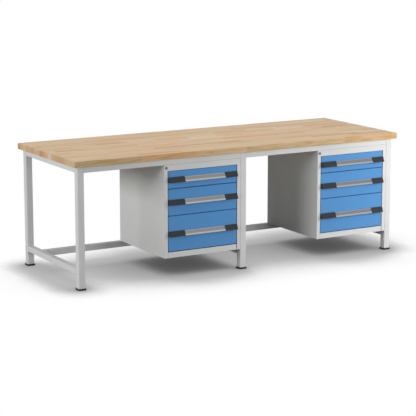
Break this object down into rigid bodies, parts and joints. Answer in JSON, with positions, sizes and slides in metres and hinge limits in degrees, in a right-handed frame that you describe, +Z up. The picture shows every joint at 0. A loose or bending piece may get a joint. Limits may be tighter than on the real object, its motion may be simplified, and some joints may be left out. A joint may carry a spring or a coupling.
{
  "type": "workbench",
  "caption": "Long industrial workbench: glued beech top on a light grey steel tube frame, with hanging cabinets of blue drawers on telescopic runners.",
  "frame": {"origin": "on the floor under the middle of the worktop", "axes": "+X along the bench to the right as seen by the user, +Y from the drawer fronts to the back, +Z up"},
  "size_m": [2.5, 0.9, 0.84],
  "materials": {
    "beech": "oiled glued beech staves",
    "frame_paint": "light grey powder coat",
    "drawer_paint": "light blue powder coat",
    "box_paint": "light grey powder coat",
    "handle_aluminium": "natural anodised",
    "black_plastic": "moulded black plastic",
    "zinc_steel": "bright zinc plated",
    "lock_metal": "dark nickel plated"
  },
  "bodies": {
    "bench": {"worktop": "beech", "front_leg_left": "frame_paint", "front_leg_middle": "frame_paint", "front_leg_right": "frame_paint", "rear_leg_left": "frame_paint", "rear_leg_middle": "frame_paint", "rear_leg_right": "frame_paint", "upper_side_rails": "frame_paint", "lower_side_rails": "frame_paint", "front_rail_left": "frame_paint", "front_rail_right": "frame_paint", "rear_rail_left": "frame_paint", "rear_rail_right": "frame_paint", "long_stretcher_left": "frame_paint", "long_stretcher_right": "frame_paint", "foot_caps": "black_plastic", "worktop_screws": "zinc_steel", "cabinet_screws": "zinc_steel", "runner_uprights": "zinc_steel", "lock_housings": "lock_metal", "left_cabinet_shell": "frame_paint", "left_cabinet_top": "frame_paint", "left_cabinet_base": "frame_paint", "left_fixed_runners": "zinc_steel", "right_cabinet_shell": "frame_paint", "right_cabinet_top": "frame_paint", "right_cabinet_base": "frame_paint", "right_fixed_runners": "zinc_steel"},
    "left_top_drawer": {"left_top_drawer_box": "box_paint", "left_top_drawer_front": "drawer_paint", "left_top_drawer_handle": "handle_aluminium", "left_top_drawer_grips": "black_plastic"},
    "left_top_runners": {"left_top_drawer_runners": "zinc_steel"},
    "left_middle_drawer": {"left_middle_drawer_box": "box_paint", "left_middle_drawer_front": "drawer_paint", "left_middle_drawer_handle": "handle_aluminium", "left_middle_drawer_grips": "black_plastic"},
    "left_middle_runners": {"left_middle_drawer_runners": "zinc_steel"},
    "left_bottom_drawer": {"left_bottom_drawer_box": "box_paint", "left_bottom_drawer_front": "drawer_paint", "left_bottom_drawer_handle": "handle_aluminium", "left_bottom_drawer_grips": "black_plastic"},
    "left_bottom_runners": {"left_bottom_drawer_runners": "zinc_steel"},
    "right_top_drawer": {"right_top_drawer_box": "box_paint", "right_top_drawer_front": "drawer_paint", "right_top_drawer_handle": "handle_aluminium", "right_top_drawer_grips": "black_plastic"},
    "right_top_runners": {"right_top_drawer_runners": "zinc_steel"},
    "right_middle_drawer": {"right_middle_drawer_box": "box_paint", "right_middle_drawer_front": "drawer_paint", "right_middle_drawer_handle": "handle_aluminium", "right_middle_drawer_grips": "black_plastic"},
    "right_middle_runners": {"right_middle_drawer_runners": "zinc_steel"},
    "right_bottom_drawer": {"right_bottom_drawer_box": "box_paint", "right_bottom_drawer_front": "drawer_paint", "right_bottom_drawer_handle": "handle_aluminium", "right_bottom_drawer_grips": "black_plastic"},
    "right_bottom_runners": {"right_bottom_drawer_runners": "zinc_steel"},
    "left_lock": {"left_lock_barrel": "lock_metal"},
    "right_lock": {"right_lock_barrel": "lock_metal"}
  },
  "joints": [
    {"name": "left_top_drawer_slide", "type": "slide", "parent": "bench", "child": "left_top_drawer", "axis": [0, -1, 0], "range_m": [0, 0.56]},
    {"name": "left_top_runner_slide", "type": "slide", "parent": "bench", "child": "left_top_runners", "axis": [0, -1, 0], "range_m": [0, 0.28]},
    {"name": "left_middle_drawer_slide", "type": "slide", "parent": "bench", "child": "left_middle_drawer", "axis": [0, -1, 0], "range_m": [0, 0.56]},
    {"name": "left_middle_runner_slide", "type": "slide", "parent": "bench", "child": "left_middle_runners", "axis": [0, -1, 0], "range_m": [0, 0.28]},
    {"name": "left_bottom_drawer_slide", "type": "slide", "parent": "bench", "child": "left_bottom_drawer", "axis": [0, -1, 0], "range_m": [0, 0.56]},
    {"name": "left_bottom_runner_slide", "type": "slide", "parent": "bench", "child": "left_bottom_runners", "axis": [0, -1, 0], "range_m": [0, 0.28]},
    {"name": "right_top_drawer_slide", "type": "slide", "parent": "bench", "child": "right_top_drawer", "axis": [0, -1, 0], "range_m": [0, 0.56]},
    {"name": "right_top_runner_slide", "type": "slide", "parent": "bench", "child": "right_top_runners", "axis": [0, -1, 0], "range_m": [0, 0.28]},
    {"name": "right_middle_drawer_slide", "type": "slide", "parent": "bench", "child": "right_middle_drawer", "axis": [0, -1, 0], "range_m": [0, 0.56]},
    {"name": "right_middle_runner_slide", "type": "slide", "parent": "bench", "child": "right_middle_runners", "axis": [0, -1, 0], "range_m": [0, 0.28]},
    {"name": "right_bottom_drawer_slide", "type": "slide", "parent": "bench", "child": "right_bottom_drawer", "axis": [0, -1, 0], "range_m": [0, 0.56]},
    {"name": "right_bottom_runner_slide", "type": "slide", "parent": "bench", "child": "right_bottom_runners", "axis": [0, -1, 0], "range_m": [0, 0.28]},
    {"name": "left_lock_turn", "type": "hinge", "parent": "bench", "child": "left_lock", "pos_m": [-0.5855, -0.425, 0.74], "axis": [0, 1, 0], "range_deg": [0, 90]},
    {"name": "right_lock_turn", "type": "hinge", "parent": "bench", "child": "right_lock", "pos_m": [0.614, -0.425, 0.74], "axis": [0, 1, 0], "range_deg": [0, 90]}
  ],
  "couplings": [
    {"joint": "left_top_runner_slide", "follows": "left_top_drawer_slide", "ratio": 0.5},
    {"joint": "left_middle_runner_slide", "follows": "left_middle_drawer_slide", "ratio": 0.5},
    {"joint": "left_bottom_runner_slide", "follows": "left_bottom_drawer_slide", "ratio": 0.5},
    {"joint": "right_top_runner_slide", "follows": "right_top_drawer_slide", "ratio": 0.5},
    {"joint": "right_middle_runner_slide", "follows": "right_middle_drawer_slide", "ratio": 0.5},
    {"joint": "right_bottom_runner_slide", "follows": "right_bottom_drawer_slide", "ratio": 0.5}
  ]
}
